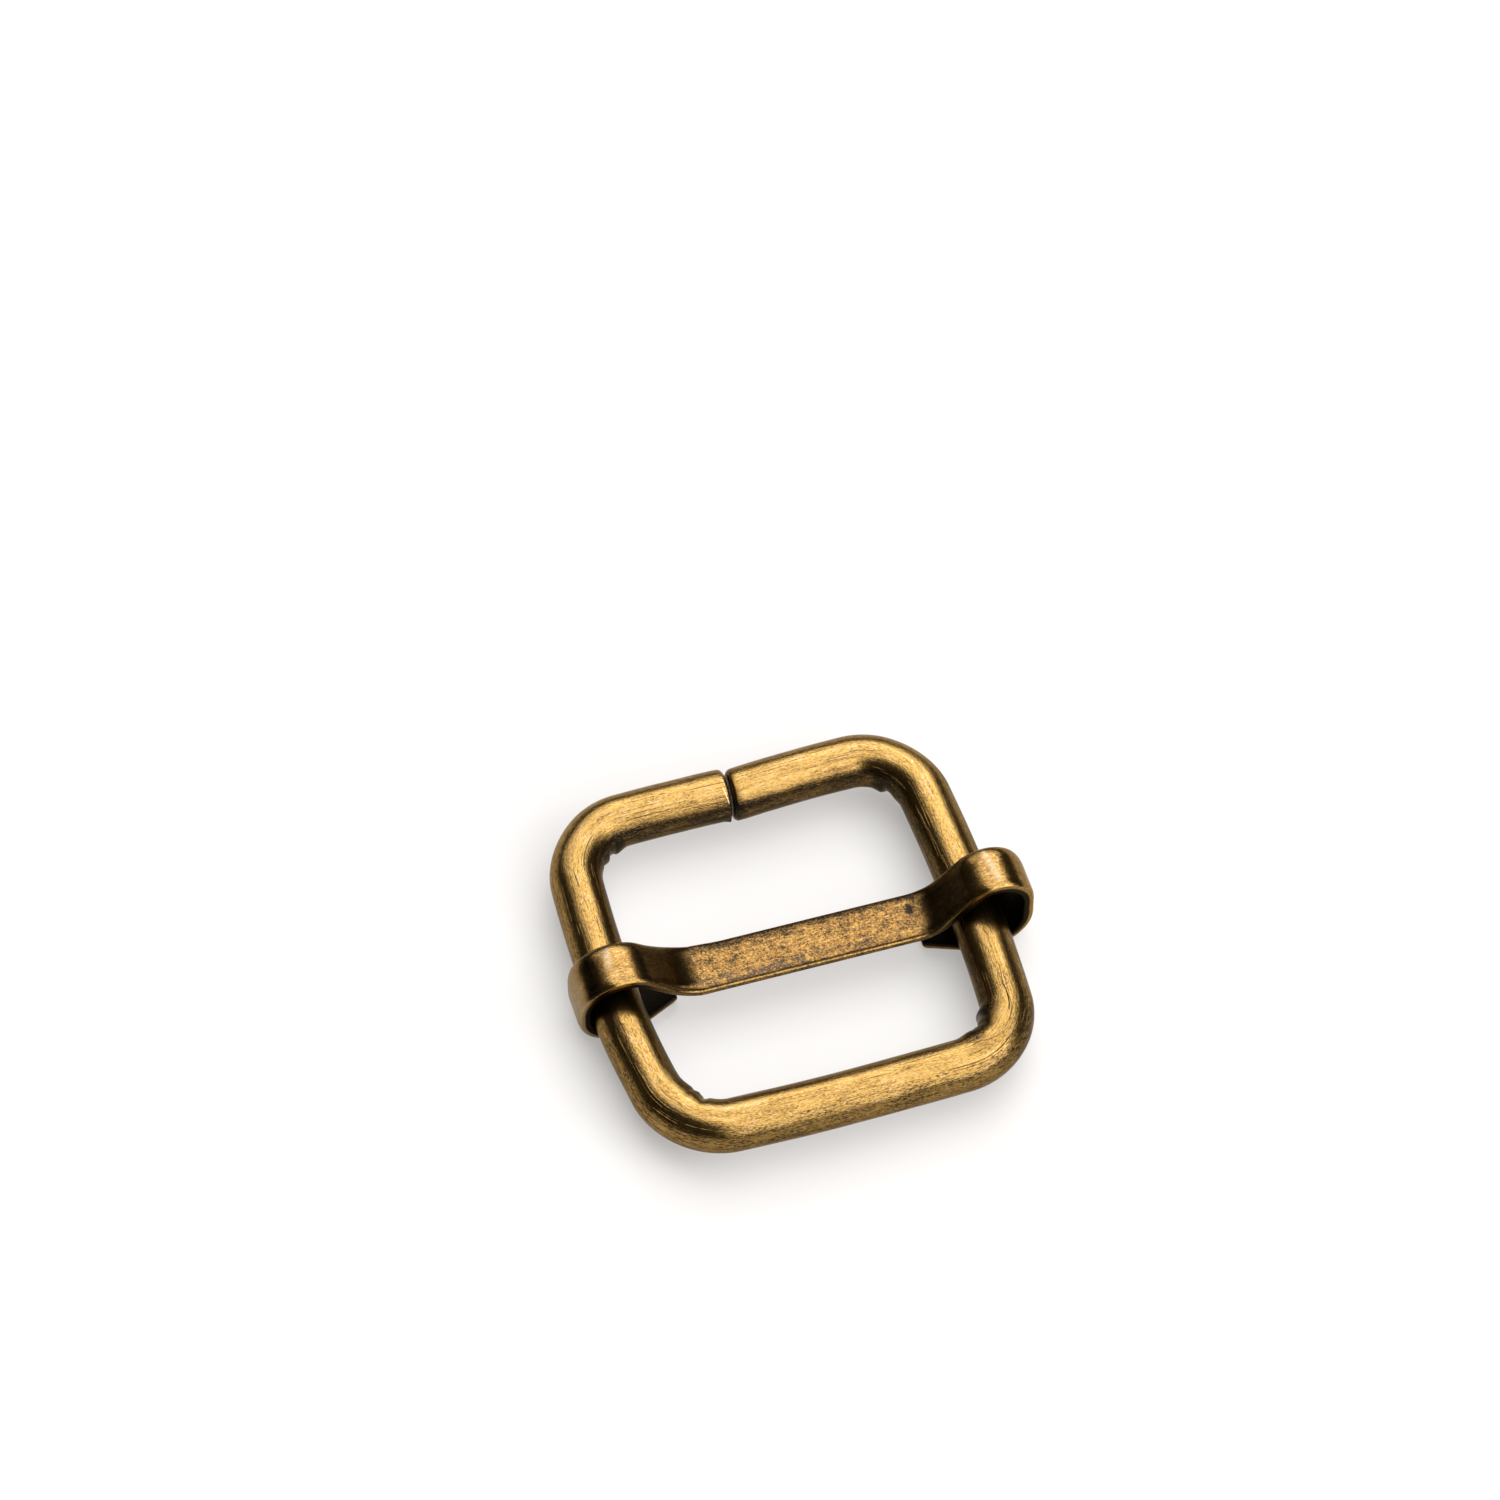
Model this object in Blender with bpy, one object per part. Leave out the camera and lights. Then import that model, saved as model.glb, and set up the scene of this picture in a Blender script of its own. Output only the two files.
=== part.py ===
"""Buckle slider for 20 mm webbing: a bent wire frame with a sheet-metal bar that slides along its side rails.

Two pieces. The frame is one length of round wire bent into a rounded rectangle, whose ends butt in the
middle of the back bar. The slide bar is one stamped strip: its middle lies across the frame, it steps up over
each side rail, curls round it, and ends in a pointed tab underneath. Nothing fixes the bar to the frame, so it
runs freely from the front corners to the back ones.

Metres, +Z up. The buckle lies flat on z = 0, on the undersides of its two tabs, and the middle of its outer
box stands over the origin. X runs along the bars, Y from the front bar to the back bar.
"""

import math
from collections import namedtuple

import bmesh
import bpy
from mathutils import Vector

MM = 0.001

# Wire frame. Its outline follows the wire's centre line. The rails and bars bow outwards by the given amounts at
# their middles, and the back bar's two halves dip inwards to the joint between the wire's ends. The front left
# corner is bent looser than the other three: it is pulled inwards, less and less over its reach.
WIRE_RADIUS = 1.75 * MM
FRAME_WIDTH = 23.4 * MM
FRAME_DEPTH = 24.3 * MM
CORNER_RADIUS = 3.8 * MM
RAIL_BOW = 0.58 * MM
FRONT_BOW = 0.12 * MM
BACK_BOW = 0.80 * MM
JOINT_DIP = 0.71 * MM
DIP_REACH = FRAME_WIDTH / 2 - CORNER_RADIUS / 2
LOOSE_PULL_X = 0.48 * MM
LOOSE_PULL_Y = 0.24 * MM
LOOSE_REACH = 5.2 * MM
JOINT_X = -0.44 * MM
JOINT_GAP = 0.16 * MM
END_ROUND = 0.25 * MM

# Slide bar. Its path follows the face that turns towards the wire. The top face is rounded down to the edges.
# The lean is how far the strip runs towards the back for each unit along it: it lies a degree off square.
STRIP_WIDTH = 3.4 * MM
STRIP_THICKNESS = 0.80 * MM
EDGE_THICKNESS = 0.60 * MM
EDGE_ROUND = 0.70 * MM
STRIP_LEAN = -0.0184
BAR_SETBACK = -0.51 * MM
BAR_DROP = 0.10 * MM
TAB_CLEARANCE = 0.33 * MM
TAB_TIP_WIDTH = 0.5 * MM
TAB_TAPER = 3.4 * MM

# One side of the slide bar, from the middle outwards: the flat stretch, the bend up and its angle, the slope,
# the curl over the rail, the curl below it, and the tab.
Side = namedtuple("Side", "flat rise_radius rise_angle slope shoulder_radius heel_radius tab")
RIGHT = Side(7.93 * MM, 3.36 * MM, math.radians(48), 2.47 * MM, 1.78 * MM, 2.35 * MM, 4.08 * MM)
LEFT = Side(6.30 * MM, 3.32 * MM, math.radians(41), 2.57 * MM, 2.24 * MM, 1.96 * MM, 4.32 * MM)

# Height of the wire's centre line above the surface that the tabs rest on.
TAB_LEVEL = -(WIRE_RADIUS + TAB_CLEARANCE)
WIRE_HEIGHT = STRIP_THICKNESS - TAB_LEVEL

# Fineness of the round shapes.
WIRE_SIDES = 24
CORNER_STEPS = 9
RUN_STEPS = 8
END_STEPS = 3
EDGE_STEPS = 4
BEND_STEP = math.radians(10)

WIRE_SHARP_ANGLE = math.radians(40)
STRIP_SHARP_ANGLE = math.radians(32)

FRAME_BRASS = (0.42, 0.29, 0.10)
FRAME_ROUGHNESS = 0.34
BAR_BRASS = (0.40, 0.26, 0.09)
BAR_ROUGHNESS = 0.38


def clear_scene():
    for obj in list(bpy.data.objects):
        bpy.data.objects.remove(obj, do_unlink=True)


def antique_brass(name, colour, roughness):
    material = bpy.data.materials.new(name)
    material.use_nodes = True
    shader = material.node_tree.nodes["Principled BSDF"]
    shader.inputs["Base Color"].default_value = (*colour, 1.0)
    shader.inputs["Metallic"].default_value = 1.0
    shader.inputs["Roughness"].default_value = roughness
    return material


def loft(name, rings, material, parent, smooth_angle):
    """A closed body through the rings, with a flat cap on the first and on the last."""
    mesh_builder = bmesh.new()
    loops = [[mesh_builder.verts.new(point) for point in ring] for ring in rings]
    count = len(loops[0])
    for lower, upper in zip(loops, loops[1:]):
        for i in range(count):
            j = (i + 1) % count
            mesh_builder.faces.new((lower[i], lower[j], upper[j], upper[i]))
    mesh_builder.faces.new(loops[0])
    mesh_builder.faces.new(loops[-1])
    bmesh.ops.recalc_face_normals(mesh_builder, faces=mesh_builder.faces)
    mesh = bpy.data.meshes.new(name)
    mesh_builder.to_mesh(mesh)
    mesh_builder.free()
    mesh.materials.append(material)
    mesh.shade_smooth()
    mesh.set_sharp_from_angle(angle=smooth_angle)
    piece = bpy.data.objects.new(name, mesh)
    bpy.context.scene.collection.objects.link(piece)
    piece.parent = parent
    return piece


# ---------------------------------------------------------------- wire frame


def looseness(x, y):
    """1 in the middle of the front left corner, fading to 0 away from it."""
    from_corner_x = x + (FRAME_WIDTH - CORNER_RADIUS) / 2
    from_corner_y = y + (FRAME_DEPTH - CORNER_RADIUS) / 2
    return math.exp(-(from_corner_x**2 + from_corner_y**2) / LOOSE_REACH**2)


def bowed(x, y):
    """The real centre line for a point of the plain rounded rectangle: bowed, dipped at the joint, one corner loose."""
    across = x / (FRAME_WIDTH / 2)
    along = y / (FRAME_DEPTH / 2)
    bow = BACK_BOW if y > 0 else FRONT_BOW
    dip = JOINT_DIP * max(0.0, 1.0 - abs(x) / DIP_REACH) * max(0.0, along) ** 4
    loose = looseness(x, y)
    real_x = x + RAIL_BOW * across * (1.0 - along * along) + LOOSE_PULL_X * loose
    real_y = y + bow * along * (1.0 - across * across) - dip + LOOSE_PULL_Y * loose
    return Vector((real_x, real_y, 0.0))


def straight(start, end, steps):
    """Points from start towards end, leaving out the end itself."""
    return [start.lerp(end, step / steps) for step in range(steps)]


def half_outline(end_x):
    """The plain centre line from a cut end in the back bar, round the right rail, to the middle of the front."""
    half_width = FRAME_WIDTH / 2
    half_depth = FRAME_DEPTH / 2
    inner_x = half_width - CORNER_RADIUS
    inner_y = half_depth - CORNER_RADIUS
    points = straight(Vector((end_x, half_depth)), Vector((inner_x, half_depth)), RUN_STEPS)
    for side, start in ((1, math.pi / 2), (-1, 0.0)):
        centre = Vector((inner_x, side * inner_y))
        for step in range(CORNER_STEPS):
            angle = start - math.pi / 2 * step / CORNER_STEPS
            points.append(centre + CORNER_RADIUS * Vector((math.cos(angle), math.sin(angle))))
        if side == 1:
            top = Vector((half_width, inner_y))
            bottom = Vector((half_width, -inner_y))
            points += straight(top, bottom, RUN_STEPS)
    points += straight(Vector((inner_x, -half_depth)), Vector((0.0, -half_depth)), RUN_STEPS // 2)
    return points


def wire_centre_line():
    """The bowed centre line, from one cut end round to the other."""
    right = half_outline(JOINT_GAP / 2 + JOINT_X)
    left = [Vector((-point.x, point.y)) for point in reversed(half_outline(JOINT_GAP / 2 - JOINT_X))]
    middle = [Vector((0.0, -FRAME_DEPTH / 2))]
    return [bowed(point.x, point.y) for point in right + middle + left]


def wire_ring(centre, heading, radius):
    outwards = Vector((heading.y, -heading.x, 0.0))
    ring = []
    for side in range(WIRE_SIDES):
        angle = 2 * math.pi * side / WIRE_SIDES
        ring.append(centre + radius * (math.cos(angle) * outwards + math.sin(angle) * Vector((0, 0, 1))))
    return ring


def rounded_end(end, heading, inwards):
    """Rings of a cut end with a rounded edge, from its flat face to the full wire. inwards is 1 or -1."""
    rings = []
    for step in range(END_STEPS + 1):
        angle = math.pi / 2 * step / END_STEPS
        depth = END_ROUND * (1.0 - math.cos(angle))
        radius = WIRE_RADIUS - END_ROUND * (1.0 - math.sin(angle))
        rings.append(wire_ring(end + inwards * depth * heading, heading, radius))
    return rings


def wire_frame(parent):
    line = wire_centre_line()
    rings = rounded_end(line[0], (line[1] - line[0]).normalized(), 1)
    for before, here, after in zip(line, line[1:], line[2:]):
        rings.append(wire_ring(here, (after - before).normalized(), WIRE_RADIUS))
    rings += reversed(rounded_end(line[-1], (line[-1] - line[-2]).normalized(), -1))
    brass = antique_brass("frame_antique_brass", FRAME_BRASS, FRAME_ROUGHNESS)
    return loft("wire_frame", rings, brass, parent, WIRE_SHARP_ANGLE)


# ---------------------------------------------------------------- slide bar


def bend(x, z, heading, radius, turn):
    """Places and headings along a bend that turns by the given angle, upwards if it is positive."""
    steps = max(1, round(abs(turn) / BEND_STEP))
    side = math.copysign(1.0, turn)
    centre_x = x - side * radius * math.sin(heading)
    centre_z = z + side * radius * math.cos(heading)
    places = []
    for step in range(1, steps + 1):
        angle = heading + turn * step / steps
        places.append((centre_x + side * radius * math.sin(angle), centre_z - side * radius * math.cos(angle), angle))
    return places


def side_path(side):
    """(x, z, heading, distance to the tab's tip) from the end of the flat middle to the tip of the tab."""
    places = [(side.flat, -BAR_DROP, 0.0)]
    places += bend(*places[-1], side.rise_radius, side.rise_angle)
    x, z, heading = places[-1]
    places.append((x + side.slope * math.cos(heading), z + side.slope * math.sin(heading), heading))
    places += bend(*places[-1], side.shoulder_radius, -side.rise_angle - math.pi / 2)
    x, z, heading = places[-1]
    places.append((x, TAB_LEVEL + side.heel_radius, heading))
    places += bend(*places[-1], side.heel_radius, -math.pi / 2)
    x, z, heading = places[-1]
    places.append((x - side.tab + TAB_TAPER, z, heading))
    places.append((x - side.tab, z, heading))
    return places


def strip_section(width):
    """(y, height) round the strip: a flat inner face, thinner edges, and a top face that is flat in its middle."""
    scale = width / STRIP_WIDTH
    top = []
    for step in range(EDGE_STEPS + 1):
        angle = math.pi / 2 * step / EDGE_STEPS
        inset = EDGE_ROUND * (1.0 - math.cos(angle))
        height = EDGE_THICKNESS + (STRIP_THICKNESS - EDGE_THICKNESS) * math.sin(angle)
        top.append((STRIP_WIDTH / 2 - inset, height))
    right = [(STRIP_WIDTH / 2, 0.0)] + top
    left = [(-y, height) for y, height in reversed(right)]
    return [(y * scale, height) for y, height in right + left]


def side_rings(side, direction):
    """Cross-sections of one side, from the middle outwards. direction is 1 for the right side, -1 for the left."""
    rings = []
    travelled = side.flat
    places = side_path(side)
    for number, (x, z, heading) in enumerate(places):
        if number:
            travelled += math.dist((x, z), places[number - 1][:2])
        width = TAB_TIP_WIDTH if number == len(places) - 1 else STRIP_WIDTH
        middle = Vector((direction * x, direction * STRIP_LEAN * travelled, z))
        outwards = Vector((-direction * math.sin(heading), 0.0, math.cos(heading)))
        rings.append([middle + outwards * height + Vector((0.0, y, 0.0)) for y, height in strip_section(width)])
    return rings


def slide_bar(parent):
    rings = list(reversed(side_rings(LEFT, -1))) + side_rings(RIGHT, 1)
    brass = antique_brass("bar_antique_brass", BAR_BRASS, BAR_ROUGHNESS)
    bar = loft("slide_bar", rings, brass, parent, STRIP_SHARP_ANGLE)
    bar.location = (0.0, BAR_SETBACK, 0.0)
    return bar


# ---------------------------------------------------------------- assembly


def stand_over_origin(root, pieces):
    """Puts the middle of the buckle's outer box over the origin."""
    bpy.context.view_layer.update()
    points = [piece.matrix_world @ vertex.co for piece in pieces for vertex in piece.data.vertices]
    for axis in (0, 1):
        values = [point[axis] for point in points]
        root.location[axis] -= (min(values) + max(values)) / 2


def main():
    clear_scene()
    wire_plane = bpy.data.objects.new("wire_plane", None)
    wire_plane.location = (0.0, 0.0, WIRE_HEIGHT)
    bpy.context.scene.collection.objects.link(wire_plane)
    pieces = [wire_frame(wire_plane), slide_bar(wire_plane)]
    stand_over_origin(wire_plane, pieces)


main()
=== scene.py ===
"""Antique brass buckle slider for 20 mm webbing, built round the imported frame.

The two CAD pieces are replaced by finer meshes of the same shape: the wire frame with the bending tool's
marks in its corners and its sheared ends, and the slide bar with its rounded edges. All metal is procedural.
Lengths are in metres, in the frame of the CAD model.
"""

import math
from collections import namedtuple

import bpy
import numpy as np
from mathutils import Matrix, Vector, noise


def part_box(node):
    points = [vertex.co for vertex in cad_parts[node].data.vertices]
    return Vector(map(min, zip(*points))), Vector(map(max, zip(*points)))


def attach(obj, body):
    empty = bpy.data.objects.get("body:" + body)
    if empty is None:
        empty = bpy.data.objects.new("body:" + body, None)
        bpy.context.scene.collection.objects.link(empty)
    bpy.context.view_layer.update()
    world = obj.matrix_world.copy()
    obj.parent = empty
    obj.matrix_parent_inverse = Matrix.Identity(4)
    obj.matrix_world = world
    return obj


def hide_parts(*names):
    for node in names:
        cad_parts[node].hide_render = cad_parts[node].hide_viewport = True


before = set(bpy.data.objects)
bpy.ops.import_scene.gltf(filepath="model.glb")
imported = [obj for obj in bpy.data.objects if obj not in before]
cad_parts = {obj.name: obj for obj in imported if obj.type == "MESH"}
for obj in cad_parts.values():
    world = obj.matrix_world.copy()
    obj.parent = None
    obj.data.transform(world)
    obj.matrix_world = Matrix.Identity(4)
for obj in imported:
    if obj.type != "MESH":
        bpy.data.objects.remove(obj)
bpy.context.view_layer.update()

MM = 0.001

wire_low, wire_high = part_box("wire_frame")
bar_low, bar_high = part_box("slide_bar")

# ---------------------------------------------------------------- driving sizes

# Wire frame. Its centre line is a rounded rectangle with bowed sides. The back bar dips to the joint between
# the wire's ends, whose left one stands a little further back, and the front left corner is pulled inwards.
WIRE_RADIUS = (wire_high.z - wire_low.z) / 2
FRAME_WIDTH = 23.4 * MM
FRAME_DEPTH = 24.3 * MM
CORNER_RADIUS = 3.8 * MM
RAIL_BOW = 0.58 * MM
FRONT_BOW = 0.12 * MM
BACK_BOW = 0.80 * MM
JOINT_DIP = 0.71 * MM
DIP_REACH = FRAME_WIDTH / 2 - CORNER_RADIUS / 2
LOOSE_PULL_X = 0.48 * MM
LOOSE_PULL_Y = 0.24 * MM
LOOSE_REACH = 5.2 * MM
JOINT_X = -0.44 * MM
JOINT_GAP = 0.13 * MM
LEFT_END_SHIFT = 0.13 * MM
# The shift's parts: the share of each, and how far from the left end it starts to fade and is gone.
LEFT_SHIFT_PARTS = ((0.6, 7.0 * MM, 13.0 * MM), (0.4, 0.8 * MM, 3.9 * MM))

# Slide bar. Its path follows the face that turns towards the wire.
STRIP_WIDTH = 3.4 * MM
STRIP_THICKNESS = 0.80 * MM
STRIP_LEAN = -0.0184
BAR_SETBACK = -0.51 * MM
BAR_DROP = 0.10 * MM
TAB_TIP_WIDTH = 0.5 * MM
TAB_TAPER = 3.4 * MM

# Centre of the frame, in the plane of the wire's centre line.
CENTRE_FROM_LEFT_CURL = 14.9273 * MM
CENTRE_FROM_BACK = 14.2144 * MM
WIRE_PLANE = Vector(
    (bar_low.x + CENTRE_FROM_LEFT_CURL, wire_high.y - CENTRE_FROM_BACK, (wire_low.z + wire_high.z) / 2)
)
TAB_LEVEL = bar_low.z + STRIP_THICKNESS - WIRE_PLANE.z

# One side of the slide bar, from the middle outwards: the flat stretch, the angle of a sharp crease, the bend
# up to the slope's angle, the slope, the curl over the rail, the curl below it, and the tab.
Side = namedtuple("Side", "flat crease rise_radius rise_angle slope shoulder_radius heel_radius tab")
RIGHT = Side(
    flat=7.93 * MM,
    crease=0.0,
    rise_radius=3.36 * MM,
    rise_angle=math.radians(48),
    slope=2.47 * MM,
    shoulder_radius=1.78 * MM,
    heel_radius=2.35 * MM,
    tab=4.08 * MM,
)
LEFT = Side(
    flat=6.65 * MM,
    crease=math.radians(16),
    rise_radius=5.76 * MM,
    rise_angle=math.radians(41),
    slope=1.98 * MM,
    shoulder_radius=2.24 * MM,
    heel_radius=1.96 * MM,
    tab=4.32 * MM,
)
CREASE_RADIUS = 0.3 * MM


# ---------------------------------------------------------------- meshes


def swept_mesh(name, rings, unbent, **point_values):
    """A closed body through rings of points, all with the same count, capped at both ends.

    unbent holds each point's place on the straight blank, before bending, for the material's grain. Each
    further array becomes an attribute with one number for each point.
    """
    stations, around = rings.shape[:2]
    corner = np.arange(stations * around).reshape(stations, around)
    after = np.roll(corner, -1, axis=1)
    quads = np.stack([corner[:-1], after[:-1], after[1:], corner[1:]], axis=-1).reshape(-1, 4)
    caps = [corner[0][::-1].tolist(), corner[-1].tolist()]
    mesh = bpy.data.meshes.new(name)
    mesh.from_pydata(rings.reshape(-1, 3).tolist(), [], quads.tolist() + caps)
    mesh.update()
    mesh.shade_smooth()
    attribute = mesh.attributes.new("unbent", "FLOAT_VECTOR", "POINT")
    attribute.data.foreach_set("vector", unbent.reshape(-1).astype(np.float32))
    for label, values in point_values.items():
        attribute = mesh.attributes.new(label, "FLOAT", "POINT")
        attribute.data.foreach_set("value", values.reshape(-1).astype(np.float32))
    piece = bpy.data.objects.new(name, mesh)
    bpy.context.scene.collection.objects.link(piece)
    return piece


def hump(place, middle, before, after):
    """1 at the middle, falling smoothly to 0 over the distance before it and the distance after it."""
    offset = place - middle
    share = np.clip(np.abs(offset) / np.where(offset < 0, before, after), 0.0, 1.0)
    return (1.0 - share * share) ** 2


def bell(value, centre, spread):
    """1 at the centre, falling off on both sides as a normal curve does."""
    return np.exp(-(((value - centre) / spread) ** 2))


def ramp(place, start, end):
    """0 up to the start, rising smoothly to 1 at the end."""
    share = np.clip((place - start) / (end - start), 0.0, 1.0)
    return share * share * (3.0 - 2.0 * share)


def uneven(points, size, seed):
    """Smooth noise from -1 to 1 at each point, in lumps of about the given size."""
    shift = Vector((seed * 7.3, seed * 3.1, seed * 5.7))
    flat = points.reshape(-1, 3) / size
    return np.array([noise.noise(Vector(point) + shift) for point in flat]).reshape(points.shape[:-1])


# ---------------------------------------------------------------- wire frame

STATION_SPACING = 0.10 * MM
WIRE_SIDES = 80

# The sheared ends. Each has a rounding on the wire's back and top, and another on its front and below.
CUT_RING_SHARES = (0.02, 0.3, 0.55, 0.8)
END_STEPS = 9
RIGHT_END_ROUNDING = (0.42 * MM, 0.36 * MM)
LEFT_END_ROUNDING = (0.50 * MM, 0.20 * MM)
DEEPEST_ROUNDING = 0.50 * MM
SOFTEST_END_ANGLE = math.radians(20)

# Slow unevenness of the surface: its height and the size of its lumps.
SWELL_HEIGHT = 0.014 * MM
SWELL_SIZE = 1.3 * MM

# A burr below the left end, and a small worn facet inside the front right corner. Angles are in degrees.
BURR_HEIGHT = 0.16 * MM
BURR_ANGLE = -26.0
BURR_SPREAD = 9.0
FACET_PLACE = -0.75 * MM
FACET_ANGLE = 12.0
FACET_SPREAD = 22.0

# How much patina is held by the cut faces and the right end's rounding, and how much patina and painted shade
# lie round the tool marks.
CUT_PATINA = 0.9
RIGHT_END_PATINA = 0.62
MARK_PATINA_AND_SHADE = 0.75

# Marks of the bending tool on the inside of a corner. Places are along the wire from the corner's middle, and
# angles are round the wire, from 0 on its inner side to 90 degrees on top.
Mark = namedtuple("Mark", "corner place height before after angle spread")
MARKS = [
    Mark("back_right", -0.10 * MM, 0.09 * MM, 1.1 * MM, 0.20 * MM, -26, 34),
    Mark("back_right", 0.30 * MM, -0.18 * MM, 0.25 * MM, 1.5 * MM, -24, 36),
    Mark("front_right", -1.35 * MM, 0.27 * MM, 1.6 * MM, 0.85 * MM, 6, 32),
    Mark("front_right", 0.15 * MM, -0.18 * MM, 0.65 * MM, 0.5 * MM, 18, 32),
    Mark("front_right", 1.8 * MM, 0.14 * MM, 1.1 * MM, 1.6 * MM, 38, 34),
    Mark("front_left", -0.50 * MM, -0.16 * MM, 0.6 * MM, 0.30 * MM, 24, 40),
    Mark("front_left", 0.30 * MM, 0.14 * MM, 0.45 * MM, 1.2 * MM, 18, 42),
    Mark("front_left", 1.40 * MM, 0.19 * MM, 0.7 * MM, 2.6 * MM, 18, 42),
    Mark("back_left", -0.90 * MM, -0.20 * MM, 0.22 * MM, 0.5 * MM, -16, 30),
    Mark("back_left", 0.10 * MM, 0.12 * MM, 0.5 * MM, 0.25 * MM, -28, 34),
    Mark("back_left", 0.60 * MM, -0.07 * MM, 0.3 * MM, 0.5 * MM, -28, 34),
    Mark("back_left", 1.80 * MM, 0.20 * MM, 0.35 * MM, 1.7 * MM, -32, 36),
]
CORNERS = {"back_right": (1, 1), "front_right": (1, -1), "front_left": (-1, -1), "back_left": (-1, 1)}

# Patina and painted shade lie round the marks, a little higher on the wire than they are, except in one
# corner.
UNDARKENED_CORNER = "front_left"
STAIN_AND_SHADE_TURN = 18.0
STAIN_AND_SHADE_SPREAD = 36.0
STAIN_AND_SHADE_REACH = 1.3 * MM


def run(start, end):
    """Points from start towards end, a station apart, leaving out both."""
    steps = max(2, round(math.dist(start, end) / STATION_SPACING))
    share = np.arange(1, steps)[:, None] / steps
    return np.array(start) * (1.0 - share) + np.array(end) * share


def plain_outline():
    """The plain rounded rectangle, clockwise from one cut end in the back bar to the other."""
    inner_x = FRAME_WIDTH / 2 - CORNER_RADIUS
    inner_y = FRAME_DEPTH / 2 - CORNER_RADIUS
    steps = round(math.pi / 2 * CORNER_RADIUS / STATION_SPACING)
    parts = [np.array([(JOINT_X + JOINT_GAP / 2, FRAME_DEPTH / 2)])]
    for number, (side_x, side_y) in enumerate(CORNERS.values()):
        angles = math.pi / 2 * (1 - number) - np.linspace(0.0, math.pi / 2, steps + 1)
        turn = np.stack([np.cos(angles), np.sin(angles)], axis=1)
        arc = np.array((side_x * inner_x, side_y * inner_y)) + CORNER_RADIUS * turn
        parts += [run(parts[-1][-1], arc[0]), arc]
    last = (JOINT_X - JOINT_GAP / 2, FRAME_DEPTH / 2)
    parts += [run(parts[-1][-1], last), np.array([last])]
    return np.concatenate(parts)


def bowed(plain):
    """The real centre line for points of the plain rectangle."""
    x, y = plain[:, 0], plain[:, 1]
    across = x / (FRAME_WIDTH / 2)
    along = y / (FRAME_DEPTH / 2)
    bow = np.where(y > 0, BACK_BOW, FRONT_BOW)
    dip = JOINT_DIP * np.maximum(0.0, 1.0 - np.abs(x) / DIP_REACH) * np.maximum(0.0, along) ** 4
    from_corner_x = x + (FRAME_WIDTH - CORNER_RADIUS) / 2
    from_corner_y = y + (FRAME_DEPTH - CORNER_RADIUS) / 2
    loose = np.exp(-(from_corner_x**2 + from_corner_y**2) / LOOSE_REACH**2)
    real_x = x + RAIL_BOW * across * (1.0 - along * along) + LOOSE_PULL_X * loose
    real_y = y + bow * along * (1.0 - across * across) - dip + LOOSE_PULL_Y * loose
    return np.stack([real_x, real_y, np.zeros_like(x)], axis=1)


def end_rounding(angle, back, front):
    """Rounding radius of a sheared end, with one value on the wire's back and top and another opposite."""
    lean = 0.5 - 0.5 * np.cos(angle - SOFTEST_END_ANGLE)
    return front + (back - front) * lean


def cut_end(station, side, rounding):
    """(station, radius, push along the wire) of a cut end's rings, from the middle of the cut outwards."""
    rim = WIRE_RADIUS - rounding
    rings = [(station, share * rim, np.zeros(WIRE_SIDES)) for share in CUT_RING_SHARES]
    for turn in math.pi / 2 * np.arange(END_STEPS) / END_STEPS:
        rings.append((station, rim + rounding * math.sin(turn), side * rounding * (1.0 - math.cos(turn))))
    return rings


def ring_rows(place, angle):
    """(station, radius, push along the wire) of all rings, from the right cut end to the left one."""
    body = [
        (number, np.full(WIRE_SIDES, WIRE_RADIUS), np.zeros(WIRE_SIDES))
        for number in range(len(place))
        if DEEPEST_ROUNDING < place[number] < place[-1] - DEEPEST_ROUNDING
    ]
    right = cut_end(0, 1, end_rounding(angle, *RIGHT_END_ROUNDING))
    left = cut_end(len(place) - 1, -1, end_rounding(angle, *LEFT_END_ROUNDING))
    rows = right + body + left[::-1]
    station, radius, push = zip(*rows)
    return np.array(station), np.stack(radius), np.stack(push)


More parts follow.
